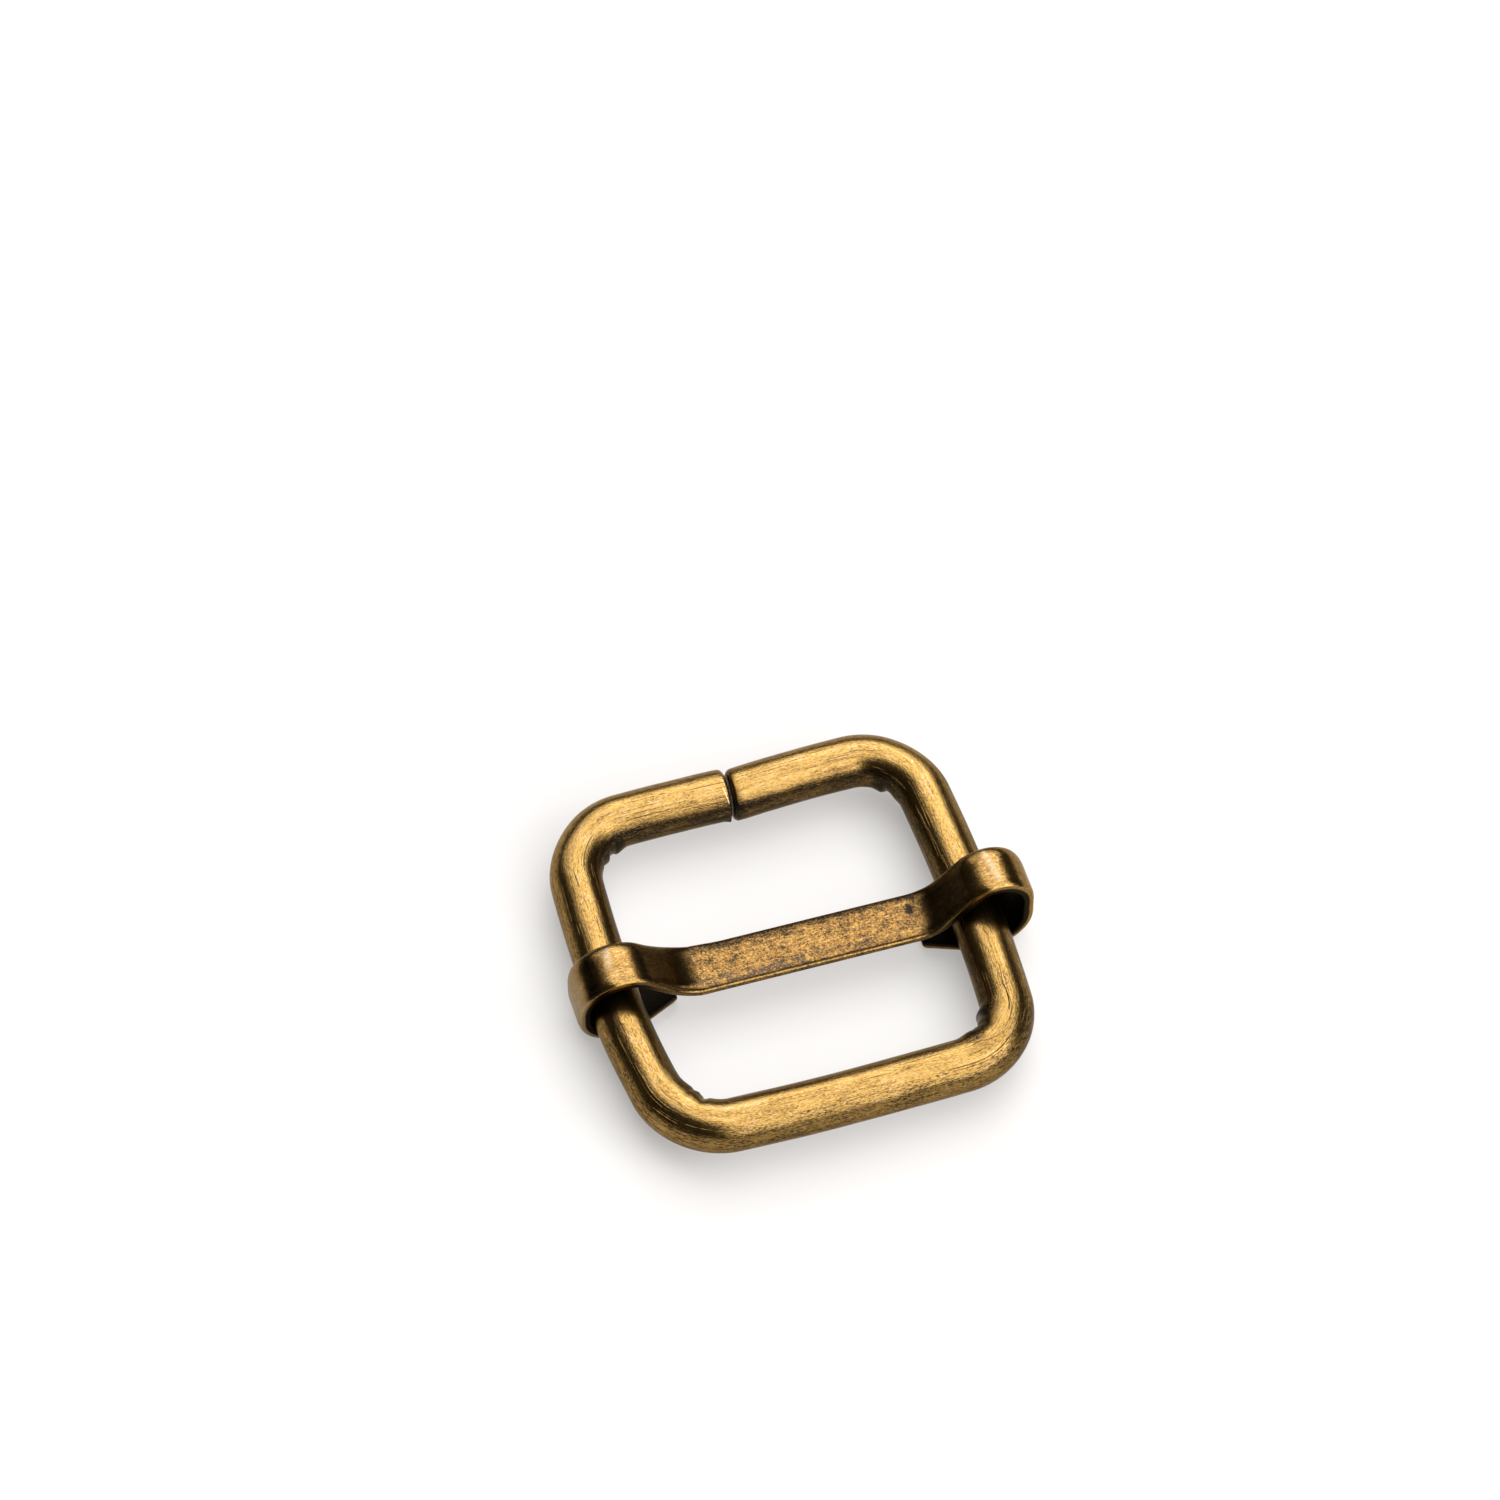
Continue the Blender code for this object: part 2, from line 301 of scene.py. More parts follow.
def wire_frame():
    """The finished frame and the length of its wire."""
    plain = plain_outline()
    centre = bowed(plain)
    steps = np.linalg.norm(np.diff(centre, axis=0), axis=1)
    to_end = np.concatenate([np.cumsum(steps[::-1])[::-1], [0.0]])
    for share, start, gone in LEFT_SHIFT_PARTS:
        centre[:, 1] += LEFT_END_SHIFT * share * (1.0 - ramp(to_end, start, gone))
    heading = np.gradient(centre, axis=0)
    heading /= np.linalg.norm(heading, axis=1)[:, None]
    inwards = np.stack([heading[:, 1], -heading[:, 0], np.zeros(len(centre))], axis=1)
    place = np.concatenate([[0.0], np.cumsum(np.linalg.norm(np.diff(centre, axis=0), axis=1))])
    angle = 2 * math.pi * np.arange(WIRE_SIDES) / WIRE_SIDES

    station, radius, push = ring_rows(place, angle)
    along = place[station][:, None] + push
    around = np.broadcast_to(angle, along.shape)
    degrees = (np.degrees(around) + 180.0) % 360.0 - 180.0
    unbent = np.stack([along, radius * np.cos(around), radius * np.sin(around)], axis=-1)

    swell = SWELL_HEIGHT * uneven(unbent * (0.5, 1.0, 1.0), SWELL_SIZE, 1)
    recess = CUT_PATINA * (1.0 - ramp(radius, 0.80 * WIRE_RADIUS, 0.94 * WIRE_RADIUS))
    recess = np.maximum(recess, RIGHT_END_PATINA * (1.0 - ramp(along, 0.15 * MM, 0.55 * MM)))
    middles = {}
    for name, sides in CORNERS.items():
        corner = np.array(sides) * (FRAME_WIDTH, FRAME_DEPTH) / 2
        middles[name] = place[np.argmin(np.linalg.norm(plain - corner, axis=1))]
    for mark in MARKS:
        middle = middles[mark.corner] + mark.place
        pressed = bell(degrees, mark.angle, mark.spread) * hump(along, middle, mark.before, mark.after)
        swell = swell + mark.height * pressed
        # Patina and painted shade darken the wire round each mark, except in one corner.
        if mark.corner != UNDARKENED_CORNER:
            stain_and_shade = bell(degrees, mark.angle + STAIN_AND_SHADE_TURN, STAIN_AND_SHADE_SPREAD)
            stain_and_shade = stain_and_shade * hump(along, middle, STAIN_AND_SHADE_REACH, STAIN_AND_SHADE_REACH)
            recess = np.maximum(recess, MARK_PATINA_AND_SHADE * stain_and_shade)
    facet = bell(degrees, FACET_ANGLE, FACET_SPREAD)
    facet = facet * hump(along, middles["front_right"] + FACET_PLACE, 0.8 * MM, 0.6 * MM)
    burr = hump(place[-1] - along, 0.08 * MM, 0.1 * MM, 0.24 * MM) * bell(degrees, BURR_ANGLE, BURR_SPREAD)
    radius = radius + (swell + BURR_HEIGHT * burr) * (radius / WIRE_RADIUS) ** 2

    up = np.array((0.0, 0.0, 1.0))
    rings = (
        centre[station][:, None, :]
        + push[..., None] * heading[station][:, None, :]
        + (radius * np.cos(around))[..., None] * inwards[station][:, None, :]
        + (radius * np.sin(around))[..., None] * up
    )
    rings += np.array(WIRE_PLANE)
    piece = swept_mesh("wire_frame_finished", rings, unbent, recess=recess, facet=facet)
    piece.data.set_sharp_from_angle(angle=math.radians(50))
    return piece, place[-1]


# ---------------------------------------------------------------- slide bar

PATH_STEP = 0.12 * MM
BEND_STEP = math.radians(2.5)
TIP_ROUND = 0.36 * MM
TIP_STEP = TIP_ROUND / 8

# The strip's section. Its front edge falls further on the flat middle than on the curls, and the fall changes
# over the given stretch of the strip.
REAR_ROUND = 1.05 * MM
REAR_DROP = 0.42 * MM
FRONT_ROUND = 0.62 * MM
FLAT_FRONT_DROP = 0.32 * MM
CURL_FRONT_DROP = 0.09 * MM
DROP_CHANGE = (8.5 * MM, 11.5 * MM)
RIM_RADIUS = 0.15 * MM

# The rear edge stands out a little along the middle, and a little more near the left slope.
MIDDLE_SWELL = 0.12 * MM
LEFT_SWELL = 0.16 * MM

# A pit near the right end of the flat: its place along and across the strip, and its depth.
PIT_ALONG = 8.1 * MM
PIT_ACROSS = 0.45 * MM
PIT_LENGTH = 0.22 * MM
PIT_DEPTH = 0.05 * MM

# How dark each place is painted: patina along the rear edge and in the pit, and painted shade on the slopes
# and in the left curl's dark band.
LEFT_SLOPE_SHADE = 0.42
RIGHT_SLOPE_SHADE = 0.48
REAR_PATINA = 0.34
CURL_BAND_SHADE = 0.70
PIT_PATINA = 1.5


def bend(x, z, heading, radius, turn):
    """Places and headings along a bend that turns by the given angle, upwards if it is positive."""
    steps = max(1, round(abs(turn) / BEND_STEP))
    side = math.copysign(1.0, turn)
    centre_x = x - side * radius * math.sin(heading)
    centre_z = z + side * radius * math.cos(heading)
    places = []
    for step in range(1, steps + 1):
        angle = heading + turn * step / steps
        place_x = centre_x + side * radius * math.sin(angle)
        place_z = centre_z - side * radius * math.cos(angle)
        places.append((place_x, place_z, angle))
    return places


def straight(x, z, heading, length, spacing=PATH_STEP):
    """Places and headings along a straight stretch."""
    steps = max(1, round(length / spacing))
    return [
        (x + length * step / steps * math.cos(heading), z + length * step / steps * math.sin(heading), heading)
        for step in range(1, steps + 1)
    ]


def side_path(side):
    """(x, z, heading) from the bar's middle to the tip of the tab."""
    places = [(0.0, -BAR_DROP, 0.0)]
    places += straight(*places[-1], side.flat)
    if side.crease:
        places += bend(*places[-1], CREASE_RADIUS, side.crease)
    places += bend(*places[-1], side.rise_radius, side.rise_angle - side.crease)
    places += straight(*places[-1], side.slope)
    places += bend(*places[-1], side.shoulder_radius, -side.rise_angle - math.pi / 2)
    drop = places[-1][1] - TAB_LEVEL - side.heel_radius
    places += straight(*places[-1], drop)
    places += bend(*places[-1], side.heel_radius, -math.pi / 2)
    places += straight(*places[-1], side.tab - TIP_ROUND)
    places += straight(*places[-1], TIP_ROUND, TIP_STEP)
    return places


def arc_points(centre, radii, start, end, steps):
    """Points on an ellipse's arc between two angles in degrees."""
    angles = np.radians(np.linspace(start, end, steps + 1))
    return np.stack([centre[0] + radii[0] * np.cos(angles), centre[1] + radii[1] * np.sin(angles)], axis=1)


def level(start, end, steps):
    """Points from start to end, leaving out both."""
    share = np.arange(1, steps)[:, None] / steps
    return np.array(start) * (1.0 - share) + np.array(end) * share


def strip_section(front_drop):
    """(across, height) round the strip, from the front edge over the top face to the rear, and back below."""
    half = STRIP_WIDTH / 2
    small = RIM_RADIUS
    top = STRIP_THICKNESS
    front_top = top - front_drop
    rear_top = top - REAR_DROP
    front_edge = arc_points((-half + small, front_top - small), (small, small), 180, 100, 5)
    front_fall = arc_points((-half + FRONT_ROUND, front_top), (FRONT_ROUND - small, front_drop), 168, 90, 8)
    rear_fall = arc_points((half - REAR_ROUND, rear_top), (REAR_ROUND, REAR_DROP), 90, 0, 14)
    rear_foot = arc_points((half - small, small), (small, small), 0, -90, 4)
    front_foot = arc_points((-half + small, small), (small, small), -90, -180, 4)
    parts = [
        front_edge,
        front_fall,
        level(front_fall[-1], rear_fall[0], 12),
        rear_fall,
        level(rear_fall[-1], rear_foot[0], 4),
        rear_foot,
        level(rear_foot[-1], front_foot[0], 16),
        front_foot,
        level(front_foot[-1], front_edge[0], 4),
    ]
    return np.concatenate(parts)


def side_rings(side, direction):
    """Rings and blank places of one side, from the middle outwards. direction is -1 on the left."""
    places = side_path(side)
    xz = np.array([place[:2] for place in places])
    heading = np.array([place[2] for place in places])
    travelled = np.concatenate([[0.0], np.cumsum(np.linalg.norm(np.diff(xz, axis=0), axis=1))])
    to_tip = travelled[-1] - travelled
    curled = ramp(travelled, *DROP_CHANGE)[:, None, None]
    section = strip_section(FLAT_FRONT_DROP) * (1.0 - curled) + strip_section(CURL_FRONT_DROP) * curled
    width = TAB_TIP_WIDTH + (STRIP_WIDTH - TAB_TIP_WIDTH) * np.clip(to_tip / TAB_TAPER, 0.0, 1.0)
    scale = width / STRIP_WIDTH
    across = section[..., 0] * scale[:, None]
    tip = np.sqrt(1.0 - (1.0 - np.clip(to_tip / TIP_ROUND, 0.06, 1.0)) ** 2)[:, None]
    height = STRIP_THICKNESS / 2 + (section[..., 1] - STRIP_THICKNESS / 2) * tip
    x = direction * (xz[:, 0][:, None] - np.sin(heading)[:, None] * height)
    y = direction * STRIP_LEAN * travelled[:, None] + across
    z = xz[:, 1][:, None] + np.cos(heading)[:, None] * height
    rings = np.stack([x, y, z], axis=-1)
    blank = np.stack([np.broadcast_to(direction * travelled[:, None], across.shape), across, height], axis=-1)
    return rings, blank


def strip_wear_and_painted_light(blank):
    """The strip's wear and its painted shade and highlights as attributes. Places are on the blank: along it
    from its middle, and across it.
    """
    along, across, above = blank[..., 0], blank[..., 1], blank[..., 2] / STRIP_THICKNESS
    ragged = along + 0.22 * MM * uneven(blank * (1.0, 1.0, 0.2), 0.55 * MM, 2)
    edge = across + 0.18 * MM * uneven(blank * (0.5, 0.6, 0.2), 0.6 * MM, 3)
    from_middle = np.abs(along)

    left_start = ramp(-ragged, 6.45 * MM, 6.75 * MM)
    # Painted shade on each slope, darkest up to where the curl's highlight begins.
    left_slope = left_start * (1.0 - ramp(-along, 11.6 * MM, 12.4 * MM))
    right_slope = ramp(ragged, 8.6 * MM, 9.3 * MM) * (1.0 - ramp(along, 13.2 * MM, 13.8 * MM))
    rear = ramp(edge, 0.55 * MM, 1.45 * MM) * (1.0 - ramp(from_middle, 9.5 * MM, 11.5 * MM))
    # Painted shade in a dark band on the left curl.
    curl_shade_band = hump(along, -14.3 * MM, 0.8 * MM, 0.7 * MM)
    pit = bell(along, PIT_ALONG, PIT_LENGTH) * bell(across, PIT_ACROSS, 0.36 * MM) * (above > 0.5)
    recess = LEFT_SLOPE_SHADE * left_slope
    for place, patina in (
        (right_slope, RIGHT_SLOPE_SHADE),
        (rear, REAR_PATINA),
        (curl_shade_band, CURL_BAND_SHADE),
        (pit, PIT_PATINA),
    ):
        recess = np.maximum(recess, patina * place)

    flat = (1.0 - left_start) * (1.0 - ramp(ragged, 8.5 * MM, 9.2 * MM))
    front = 1.0 - ramp(edge, -1.35 * MM, -0.6 * MM)
    # A painted highlight: a pale streak across each curl's crown.
    left_painted_streak = hump(along - 0.10 * across, -13.25 * MM, 0.28 * MM, 0.28 * MM)
    left_painted_streak = left_painted_streak * ramp(across, -0.7 * MM, 0.1 * MM)
    right_painted_streak = hump(along + 0.10 * across, 14.75 * MM, 0.25 * MM, 0.25 * MM)
    right_painted_streak = right_painted_streak * ramp(across, -1.4 * MM, -0.6 * MM)
    return {
        "recess": recess,
        "rim": hump(across, -STRIP_WIDTH / 2 + 0.07 * MM, 0.09 * MM, 0.12 * MM) * (above > 0.55),
        "flat": flat,
        "greyed": flat * front * (0.85 - 0.6 * ramp(along, -4.0 * MM, 6.0 * MM)),
        "satin": ramp(-along, 14.6 * MM, 15.6 * MM) * (1.0 - ramp(-along, 19.0 * MM, 20.5 * MM)),
        "painted_streak": np.maximum(left_painted_streak, right_painted_streak) * (above > 0.5),
        # Painted shade, near black, on the faces of the curls and tabs that turn towards the wire.
        "inner": (above < 0.5) * ramp(from_middle, 8.0 * MM, 12.0 * MM),
    }


def slide_bar():
    """The finished bar, from the tip of its left tab to the tip of its right one."""
    left, left_blank = side_rings(LEFT, -1)
    right, right_blank = side_rings(RIGHT, 1)
    rings = np.concatenate([left[::-1], right[1:]])
    blank = np.concatenate([left_blank[::-1], right_blank[1:]])
    along, across, height = blank[..., 0], blank[..., 1], blank[..., 2]
    middle = 1.0 - ramp(np.abs(along), 8.0 * MM, 11.0 * MM)
    swell = MIDDLE_SWELL * middle + LEFT_SWELL * hump(along, -7.2 * MM, 3.5 * MM, 3.0 * MM)
    rings[..., 1] += swell * ramp(across, 0.0, STRIP_WIDTH / 2)
    pit = bell(along, PIT_ALONG, PIT_LENGTH) * bell(across, PIT_ACROSS, 0.30 * MM)
    rings[..., 2] -= PIT_DEPTH * pit * (height > STRIP_THICKNESS / 2)
    rings += np.array(WIRE_PLANE) + np.array((0.0, BAR_SETBACK, 0.0))
    piece = swept_mesh("slide_bar_finished", rings, blank, **strip_wear_and_painted_light(blank))
    piece.data.set_sharp_from_angle(angle=math.radians(40))
    return piece


# ---------------------------------------------------------------- materials


class Nodes:
    """A short way to build a material's nodes."""

    def __init__(self, material):
        self.tree = material.node_tree

    def add(self, kind, **settings):
        node = self.tree.nodes.new(kind)
        for name, value in settings.items():
            setattr(node, name, value)
        return node

    def link(self, source, target):
        self.tree.links.new(source, target)

    def feed(self, socket, value):
        if isinstance(value, bpy.types.NodeSocket):
            self.link(value, socket)
        else:
            socket.default_value = value

    def math(self, operation, first, second=0.5, clamp=False):
        """A sum or function of one or two values. One that takes a single value leaves second as it is."""
        node = self.add("ShaderNodeMath", operation=operation, use_clamp=clamp)
        self.feed(node.inputs[0], first)
        self.feed(node.inputs[1], second)
        return node.outputs[0]

    def total(self, first, *terms):
        """The sum of the terms, each a value and its factor."""
        whole = self.product(*first)
        for term in terms:
            whole = self.math("ADD", whole, self.product(*term))
        return whole

    def product(self, first, second):
        return self.math("MULTIPLY", first, second)

    def attribute(self, name, output="Fac"):
        return self.add("ShaderNodeAttribute", attribute_name=name).outputs[output]

    def stretched(self, vector, scale):
        """The vector times a scale for each axis. Noise read from it is drawn out along the axes under 1."""
        node = self.add("ShaderNodeVectorMath", operation="MULTIPLY")
        self.feed(node.inputs[0], vector)
        node.inputs[1].default_value = scale
        return node.outputs[0]

    def noise(self, vector, scale, detail=2.0, roughness=0.5):
        node = self.add("ShaderNodeTexNoise")
        self.feed(node.inputs["Vector"], vector)
        node.inputs["Scale"].default_value = scale
        node.inputs["Detail"].default_value = detail
        node.inputs["Roughness"].default_value = roughness
        return node.outputs["Fac"]

    def between(self, value, low, high, to_low=0.0, to_high=1.0):
        """Goes smoothly from to_low, where the value is low, to to_high, where it is high."""
        node = self.add("ShaderNodeMapRange", interpolation_type="SMOOTHSTEP")
        self.feed(node.inputs["Value"], value)
        node.inputs["From Min"].default_value = low
        node.inputs["From Max"].default_value = high
        node.inputs["To Min"].default_value = to_low
        node.inputs["To Max"].default_value = to_high
        return node.outputs["Result"]

    def dot(self, vector, factors):
        node = self.add("ShaderNodeVectorMath", operation="DOT_PRODUCT")
        self.feed(node.inputs[0], vector)
        node.inputs[1].default_value = factors
        return node.outputs["Value"]

    def scratches(self, sheet, broken, lines):
        """Strength of thin straight scratches on the unrolled wire. sheet is the place on it."""
        total = 0.0
        for line in lines:
            low = math.radians(line.start_angle) * WIRE_RADIUS / MM
            rise = math.radians(line.end_angle) * WIRE_RADIUS / MM - low
            reach = line.end - line.start
            length = math.hypot(reach, rise)
            passed = (reach, rise, -(line.start * reach + low * rise))
            share = self.dot(sheet, [part / length**2 for part in passed])
            sideways = (rise, -reach, low * reach - line.start * rise)
            offset = self.dot(sheet, [part / length for part in sideways])
            near = self.between(self.math("ABSOLUTE", offset), 1.5 * line.half_width, 0.5 * line.half_width)
            ends = self.product(self.between(share, 0.0, 0.2), self.between(share, 1.0, 0.8))
            gaps = self.between(broken, 0.62, 0.50, 0.35, 1.0)
            drawn = self.product(self.product(near, ends), self.product(gaps, line.strength))
            total = self.math("MAXIMUM", drawn, total)
        return total

    def colours(self, value, stops):
        """A colour ramp through (position, colour) stops."""
        node = self.add("ShaderNodeValToRGB")
        self.feed(node.inputs["Fac"], value)
        elements = node.color_ramp.elements
        while len(elements) < len(stops):
            elements.new(0.5)
        for element, (position, colour) in zip(elements, stops):
            element.position = position
            element.color = (*colour, 1.0)
        return node.outputs["Color"]

    def mixed(self, share, first, second):
        node = self.add("ShaderNodeMix", data_type="RGBA")
        self.feed(node.inputs[0], share)
        self.feed(node.inputs[6], first)
        self.feed(node.inputs[7], second)
        return node.outputs[2]

    def blended(self, share, first, colour):
        return self.mixed(share, first, (*colour, 1.0))


# Colours, linear.
GOLD = (0.300, 0.186, 0.056)
PALE_GOLD = (0.350, 0.240, 0.125)
OLD_GOLD = (0.166, 0.096, 0.026)
ORANGE_GOLD = (0.186, 0.099, 0.028)
RUST = (0.200, 0.086, 0.030)
BROWN = (0.054, 0.0355, 0.0175)
BLACK = (0.0175, 0.0132, 0.0080)
# Painted shade colour for the insides of the curls.
CURL_UNDERSIDE_SHADE = (0.0035, 0.0026, 0.0018)
BARE = (0.58, 0.46, 0.25)
# Colour of the painted highlight streak on the curls.
PAINTED_HIGHLIGHT_STREAK = (0.30, 0.245, 0.17)
SATIN = (0.270, 0.215, 0.140)
GREY = (0.050, 0.039, 0.030)
WORN_GREY = (0.150, 0.153, 0.158)
EDGE_TINT = (0.78, 0.70, 0.60)
RELIEF_DEPTH = 0.013 * MM


# A scratch on the wire: places along the wire and angles round it where it starts and ends, its half width,
# and how strong it is. All lengths in millimetres, angles in degrees.
Scratch = namedtuple("Scratch", "start start_angle end end_angle half_width strength")
DARK_SCRATCHES = [
    Scratch(29.3, 90, 31.4, 84, 0.018, 0.70),
    Scratch(30.6, 83, 33.3, 95, 0.030, 1.0),
    Scratch(31.9, 92, 34.0, 103, 0.018, 0.6),
    Scratch(34.6, 105, 37.0, 73, 0.018, 0.6),
    Scratch(75.9, 97, 74.3, 93, 0.022, 0.85),
    Scratch(73.7, 92, 72.6, 87, 0.018, 0.65),
]


def bright_scratches(wire_length):
    """Bare metal scraped at the wire's left cut end."""
    end = wire_length / MM
    return [
        Scratch(end - 0.40, 80, end - 0.12, 32, 0.026, 0.85),
        Scratch(end - 0.20, 88, end - 0.10, 60, 0.018, 0.7),
        Scratch(end - 4.6, 69, end - 2.7, 66, 0.012, 0.40),
    ]


def new_brass(name):
    """A new metal as (material, nodes, shader, place). place is on the straight blank, in millimetres."""
    material = bpy.data.materials.new(name)
    material.use_nodes = True
    nodes = Nodes(material)
    shader = material.node_tree.nodes["Principled BSDF"]
    shader.inputs["Metallic"].default_value = 1.0
    shader.inputs["Specular Tint"].default_value = (*EDGE_TINT, 1.0)
    place = nodes.stretched(nodes.attribute("unbent", "Vector"), (1.0 / MM, 1.0 / MM, 1.0 / MM))
    return material, nodes, shader, place


def cover(nodes, shader, colour, roughness, relief):
    """Feeds a metal's colour, roughness and fine relief to its shader."""
    nodes.link(colour, shader.inputs["Base Color"])
    nodes.link(roughness, shader.inputs["Roughness"])
    bump = nodes.add("ShaderNodeBump")
    bump.inputs["Strength"].default_value = 1.0
    bump.inputs["Distance"].default_value = RELIEF_DEPTH
    nodes.link(relief, bump.inputs["Height"])
    nodes.link(bump.outputs["Normal"], shader.inputs["Normal"])


def unrolled(nodes, place, length, inward, height):
    """(along, round, 1) on the wire's unrolled surface, in millimetres. It wanders, so no line is straight."""
    turned = nodes.product(nodes.math("ARCTAN2", height, inward), WIRE_RADIUS / MM)
    wander = nodes.math("SUBTRACT", nodes.noise(nodes.stretched(place, (1.0, 0.0, 0.0)), 0.9, 2.0), 0.5)
    turned = nodes.math("ADD", turned, nodes.product(wander, 0.05))
    sheet = nodes.add("ShaderNodeCombineXYZ")
    for socket, value in zip(sheet.inputs, (length, turned, 1.0)):
        nodes.feed(socket, value)
    return sheet.outputs[0]


def wire_brass(wire_length):
    """Patinated brass, drawn along the wire: bright on top, with more patina on its inner side and flanks."""
    material, nodes, shader, place = new_brass("frame_patinated_brass")
    grain = nodes.stretched(place, (0.36, 1.0, 1.0))
    worked = nodes.stretched(place, (0.32, 1.0, 1.0))
    brushed = nodes.stretched(place, (0.10, 1.0, 1.0))
    drawn = nodes.stretched(place, (0.05, 1.0, 1.0))
    scored = nodes.stretched(place, (0.018, 1.0, 1.0))

    speckle = nodes.noise(grain, 13.0, 3.0, 0.75)
    clouds = nodes.noise(grain, 1.3, 3.0, 0.55)
    patches = nodes.noise(worked, 12.0, 3.0, 0.8)
    streaks = nodes.noise(brushed, 11.0, 3.0, 0.65)
    bands = nodes.noise(drawn, 2.2, 3.0, 0.6)
    scores = nodes.between(nodes.noise(scored, 11.0, 1.0, 0.5), 0.65, 0.73)
    rust = nodes.between(nodes.noise(grain, 9.0, 3.0, 0.7), 0.52, 0.66)

    # Where the patina is thicker, in millimetres along the wire from its right end, inwards, and upwards.
    parts = nodes.add("ShaderNodeSeparateXYZ")
    nodes.link(place, parts.inputs[0])
    length, inward, height = parts.outputs
    flanks = nodes.between(height, 1.75, 0.2, 0.0, 0.06)
    inner = nodes.between(inward, 0.90, 1.60, 0.0, 0.22)
    right_rail = nodes.product(nodes.between(length, 9.0, 13.0), nodes.between(length, 37.0, 33.5))
    right_edge = nodes.product(nodes.between(inward, -1.30, -1.62, 0.0, 0.24), right_rail)
    front_left = nodes.product(nodes.between(length, 52.0, 55.0), nodes.between(length, 72.0, 67.0))
    left_inner = nodes.product(nodes.between(inward, 0.95, 1.50, 0.0, 0.15), front_left)
    outer = nodes.between(inward, -0.35, -1.35, 0.0, 1.5)
    outer_patches = nodes.product(nodes.math("SUBTRACT", patches, 0.47), outer)
    density = nodes.total(
        (speckle, 0.98),
        (clouds, 0.35),
        (streaks, 0.38),
        (bands, 0.42),
        (flanks, 1.0),
        (inner, 1.0),
        (right_edge, 1.0),
        (left_inner, 1.0),
        (outer_patches, 1.0),
    )

    sheet = unrolled(nodes, place, length, inward, height)
    dark_scratches = nodes.scratches(sheet, speckle, DARK_SCRATCHES)
    bare_scratches = nodes.scratches(sheet, speckle, bright_scratches(wire_length))
    patina = nodes.total((nodes.between(density, 0.94, 1.50), 1.0), (scores, 0.50))
    # Adds the patina of the cut ends, and the patina and painted shade round the tool marks.
    patina = nodes.math("ADD", patina, nodes.product(nodes.attribute("recess"), 0.80), clamp=True)
    patina = nodes.math("MAXIMUM", patina, dark_scratches)

    colour = nodes.colours(patina, [(0.0, GOLD), (0.42, OLD_GOLD), (0.80, BROWN), (1.0, BLACK)])
    pale = nodes.between(nodes.noise(grain, 3.1, 3.0, 0.7), 0.50, 0.66)
    colour = nodes.blended(nodes.product(pale, nodes.between(patina, 0.45, 0.1, 0.0, 0.5)), colour, PALE_GOLD)
    colour = nodes.blended(nodes.product(rust, nodes.between(patina, 0.75, 0.2, 0.0, 0.50)), colour, RUST)
    colour = nodes.blended(nodes.product(nodes.attribute("facet"), 0.9), colour, WORN_GREY)
    colour = nodes.blended(bare_scratches, colour, BARE)

    roughness = nodes.math("ADD", nodes.total((patina, 0.10), (clouds, 0.05)), 0.155)
    fine = nodes.noise(grain, 11.0, 3.0, 0.7)
    relief = nodes.total((fine, 1.0), (streaks, 0.45), (scores, -1.0), (dark_scratches, -2.0))
    cover(nodes, shader, colour, roughness, relief)
    return material


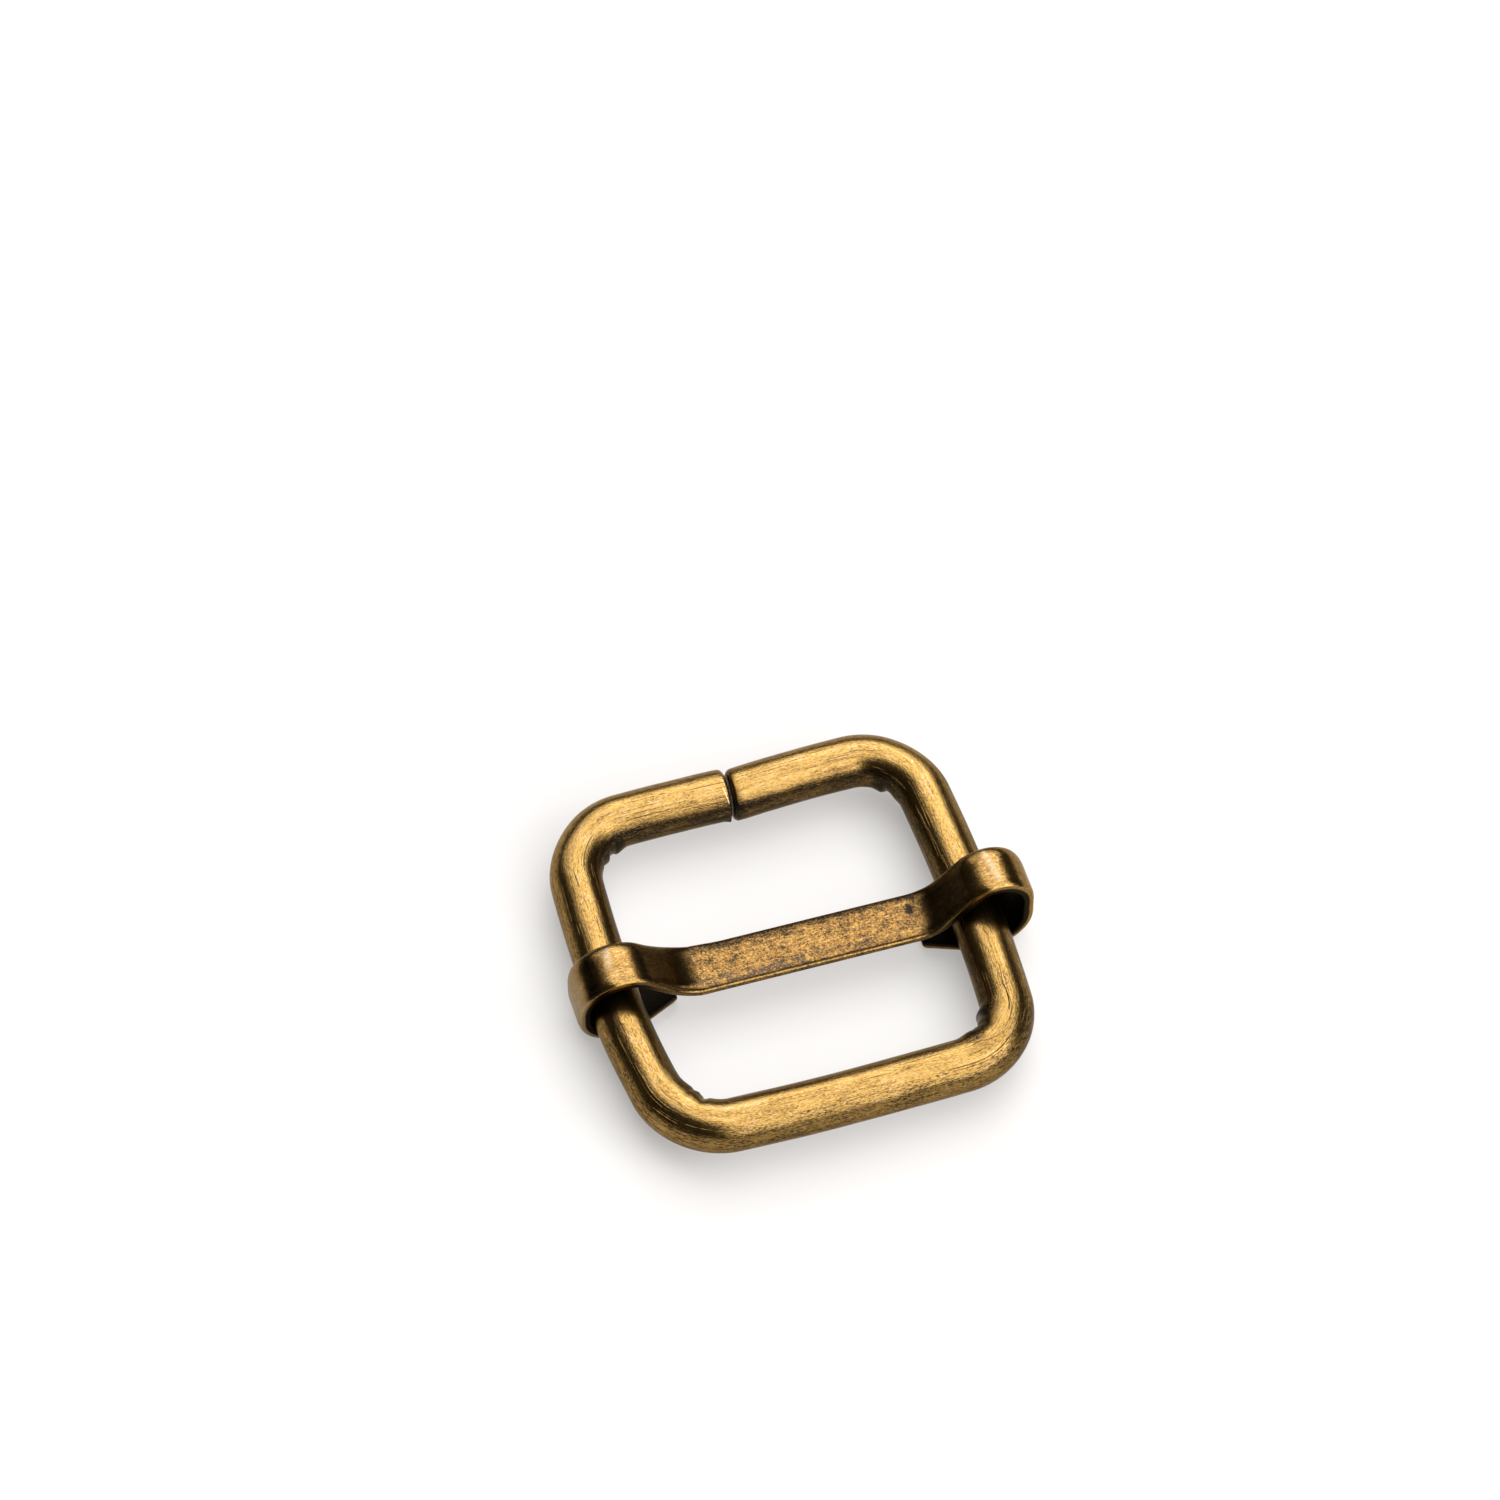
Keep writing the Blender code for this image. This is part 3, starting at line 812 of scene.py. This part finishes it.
def strip_brass():
    """Patinated brass strip: mottled on its flat middle, with painted shade on its slopes and near black
    inside its curls, and a painted highlight on each curl's crown.
    """
    material, nodes, shader, place = new_brass("bar_patinated_brass")
    grain = nodes.stretched(place, (0.75, 1.0, 1.0))
    drawn = nodes.stretched(place, (0.10, 1.0, 1.0))
    speckle = nodes.noise(grain, 9.5, 3.0, 0.75)
    clouds = nodes.noise(grain, 1.8, 4.0, 0.65)
    lines = nodes.noise(drawn, 6.0, 2.0, 0.6)
    rust = nodes.between(nodes.noise(grain, 5.5, 2.0, 0.6), 0.52, 0.66)
    pale = nodes.between(nodes.noise(grain, 3.1, 3.0, 0.7), 0.45, 0.62)
    recess, rim, flat, greyed, satin, painted_streak, inner = [
        nodes.attribute(name) for name in ("recess", "rim", "flat", "greyed", "satin", "painted_streak", "inner")
    ]

    density = nodes.total((speckle, 1.15), (clouds, 0.50), (lines, 0.30))
    patina = nodes.product(nodes.between(density, 0.66, 1.30), nodes.between(flat, 0.0, 1.0, 0.65, 1.10))
    # Adds patina in the pit and along the rear edge, and painted shade on the slopes and in the left curl's
    # band.
    patina = nodes.math("ADD", patina, nodes.product(recess, 0.80), clamp=True)

    worn = nodes.colours(patina, [(0.0, GOLD), (0.45, OLD_GOLD), (0.80, BROWN), (1.0, BLACK)])
    worn = nodes.blended(nodes.product(pale, nodes.between(patina, 0.45, 0.1, 0.0, 0.6)), worn, PALE_GOLD)
    mottled = nodes.colours(patina, [(0.10, GOLD), (0.38, ORANGE_GOLD), (0.80, BROWN), (1.0, BLACK)])
    colour = nodes.mixed(flat, worn, mottled)
    colour = nodes.blended(nodes.product(rust, nodes.between(patina, 0.85, 0.35, 0.0, 0.70)), colour, RUST)
    # Painted highlight streak on the curls' crowns.
    colour = nodes.blended(nodes.product(painted_streak, nodes.between(speckle, 0.40, 0.62)), colour, PAINTED_HIGHLIGHT_STREAK)
    greys = nodes.product(greyed, nodes.between(density, 0.80, 1.05))
    colour = nodes.blended(nodes.product(greys, nodes.between(clouds, 0.40, 0.52)), colour, GREY)
    colour = nodes.blended(nodes.product(satin, nodes.between(speckle, 0.42, 0.56, 0.15, 1.0)), colour, SATIN)
    colour = nodes.blended(nodes.product(rim, nodes.between(speckle, 0.62, 0.42, 0.15, 0.8)), colour, GOLD)
    # Painted shade, near black, inside the curls and on the tabs.
    colour = nodes.blended(inner, colour, CURL_UNDERSIDE_SHADE)

    roughness = nodes.total((patina, 0.08), (flat, 0.14), (satin, 0.12), (inner, 0.25))
    roughness = nodes.math("ADD", roughness, 0.155)
    fine = nodes.noise(grain, 8.0, 3.0, 0.7)
    relief = nodes.total((fine, 1.0), (clouds, 0.7))
    cover(nodes, shader, colour, roughness, relief)
    return material


def floor_paper():
    """Pale paper with a faint glow, because the photograph's shadows are very light."""
    material = bpy.data.materials.new("floor_paper")
    material.use_nodes = True
    nodes = Nodes(material)
    shader = material.node_tree.nodes["Principled BSDF"]
    tone = nodes.noise(nodes.add("ShaderNodeNewGeometry").outputs["Position"], 40.0, 3.0)
    paper = nodes.colours(tone, [(0.3, (0.375, 0.366, 0.359)), (0.7, (0.395, 0.386, 0.379))])
    nodes.link(paper, shader.inputs["Base Color"])
    shader.inputs["Roughness"].default_value = 0.9
    shader.inputs["Specular IOR Level"].default_value = 0.1
    shader.inputs["Emission Color"].default_value = (1.0, 0.980, 0.965, 1.0)
    shader.inputs["Emission Strength"].default_value = 0.34
    return material


# ---------------------------------------------------------------- studio

FLOOR_REACH = 3.0

# Soft boxes: azimuth and elevation in degrees, distance, width and height in metres, and radiance.
SoftBox = namedtuple("SoftBox", "name azimuth elevation distance width height radiance")
SOFT_BOXES = [
    SoftBox("overhead_soft_box", 75, 74, 0.8, 1.34, 0.92, 3.6),
    SoftBox("back_soft_box", 27, 36, 0.9, 0.62, 0.42, 2.7),
    SoftBox("back_left_soft_box", -12, 38, 0.9, 0.62, 0.40, 2.1),
    SoftBox("right_soft_box", 150, 31, 0.9, 1.15, 0.70, 3.2),
]
FILL_COLOUR = (1.0, 0.98, 0.95, 1.0)
FILL_STRENGTH = 0.065


def direction(azimuth, elevation):
    """Unit vector towards a place in the studio. Azimuth 0 is behind the buckle, and 90 on its right."""
    azimuth, elevation = math.radians(azimuth), math.radians(elevation)
    level_part = math.cos(elevation)
    return Vector((level_part * math.sin(azimuth), level_part * math.cos(azimuth), math.sin(elevation)))


def soft_light(box):
    """A soft box that faces the buckle, lit so that its front has the given radiance."""
    light = bpy.data.lights.new(box.name, "AREA")
    light.shape = "RECTANGLE"
    light.size = box.width
    light.size_y = box.height
    light.energy = box.radiance * math.pi * box.width * box.height
    holder = bpy.data.objects.new(box.name, light)
    towards = direction(box.azimuth, box.elevation)
    holder.location = WIRE_PLANE + towards * box.distance
    holder.rotation_mode = "QUATERNION"
    holder.rotation_quaternion = towards.to_track_quat("Z", "Y")
    bpy.context.scene.collection.objects.link(holder)


def studio():
    mesh = bpy.data.meshes.new("floor")
    corners = [(x * FLOOR_REACH, y * FLOOR_REACH, 0.0) for x, y in ((-1, -1), (1, -1), (1, 1), (-1, 1))]
    mesh.from_pydata(corners, [], [(0, 1, 2, 3)])
    mesh.materials.append(floor_paper())
    floor = bpy.data.objects.new("floor", mesh)
    bpy.context.scene.collection.objects.link(floor)

    for box in SOFT_BOXES:
        soft_light(box)

    world = bpy.data.worlds.new("studio_fill")
    world.use_nodes = True
    background = world.node_tree.nodes["Background"]
    background.inputs["Color"].default_value = FILL_COLOUR
    background.inputs["Strength"].default_value = FILL_STRENGTH
    bpy.context.scene.world = world
    bpy.context.scene.view_settings.view_transform = "Standard"


# The camera: angles in degrees, lens and sensor in millimetres, and its place from the middle of the frame,
# along its own axes.
CAMERA_AZIMUTH = -17.39
CAMERA_ELEVATION = 55.98
CAMERA_LENS = 161.1
CAMERA_SENSOR = 36.0
CAMERA_DISTANCE = 438.23 * MM
CAMERA_RIGHT = -2.64 * MM
CAMERA_UP = 12.64 * MM
CAMERA_CLIP_START = 0.01


def photo_camera():
    """Looks down on the buckle from the front, a little from its left, with no shift and a long lens."""
    azimuth, elevation = math.radians(CAMERA_AZIMUTH), math.radians(CAMERA_ELEVATION)
    right = Vector((math.cos(azimuth), math.sin(azimuth), 0.0))
    level_part = math.cos(elevation)
    back = Vector((math.sin(azimuth) * level_part, -math.cos(azimuth) * level_part, math.sin(elevation)))
    up = back.cross(right)
    data = bpy.data.cameras.new("camera")
    data.lens = CAMERA_LENS
    data.sensor_width = CAMERA_SENSOR
    data.clip_start = CAMERA_CLIP_START
    camera = bpy.data.objects.new("camera", data)
    bpy.context.scene.collection.objects.link(camera)
    placed = Matrix((right, up, back)).transposed().to_4x4()
    placed.translation = WIRE_PLANE + right * CAMERA_RIGHT + up * CAMERA_UP + back * CAMERA_DISTANCE
    camera.matrix_world = placed
    bpy.context.scene.camera = camera


# ---------------------------------------------------------------- assembly

photo_camera()
studio()

frame_piece, wire_length = wire_frame()
frame_piece.data.materials.append(wire_brass(wire_length))
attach(frame_piece, "frame")
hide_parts("wire_frame")

bar_piece = slide_bar()
bar_piece.data.materials.append(strip_brass())
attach(bar_piece, "slider")
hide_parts("slide_bar")
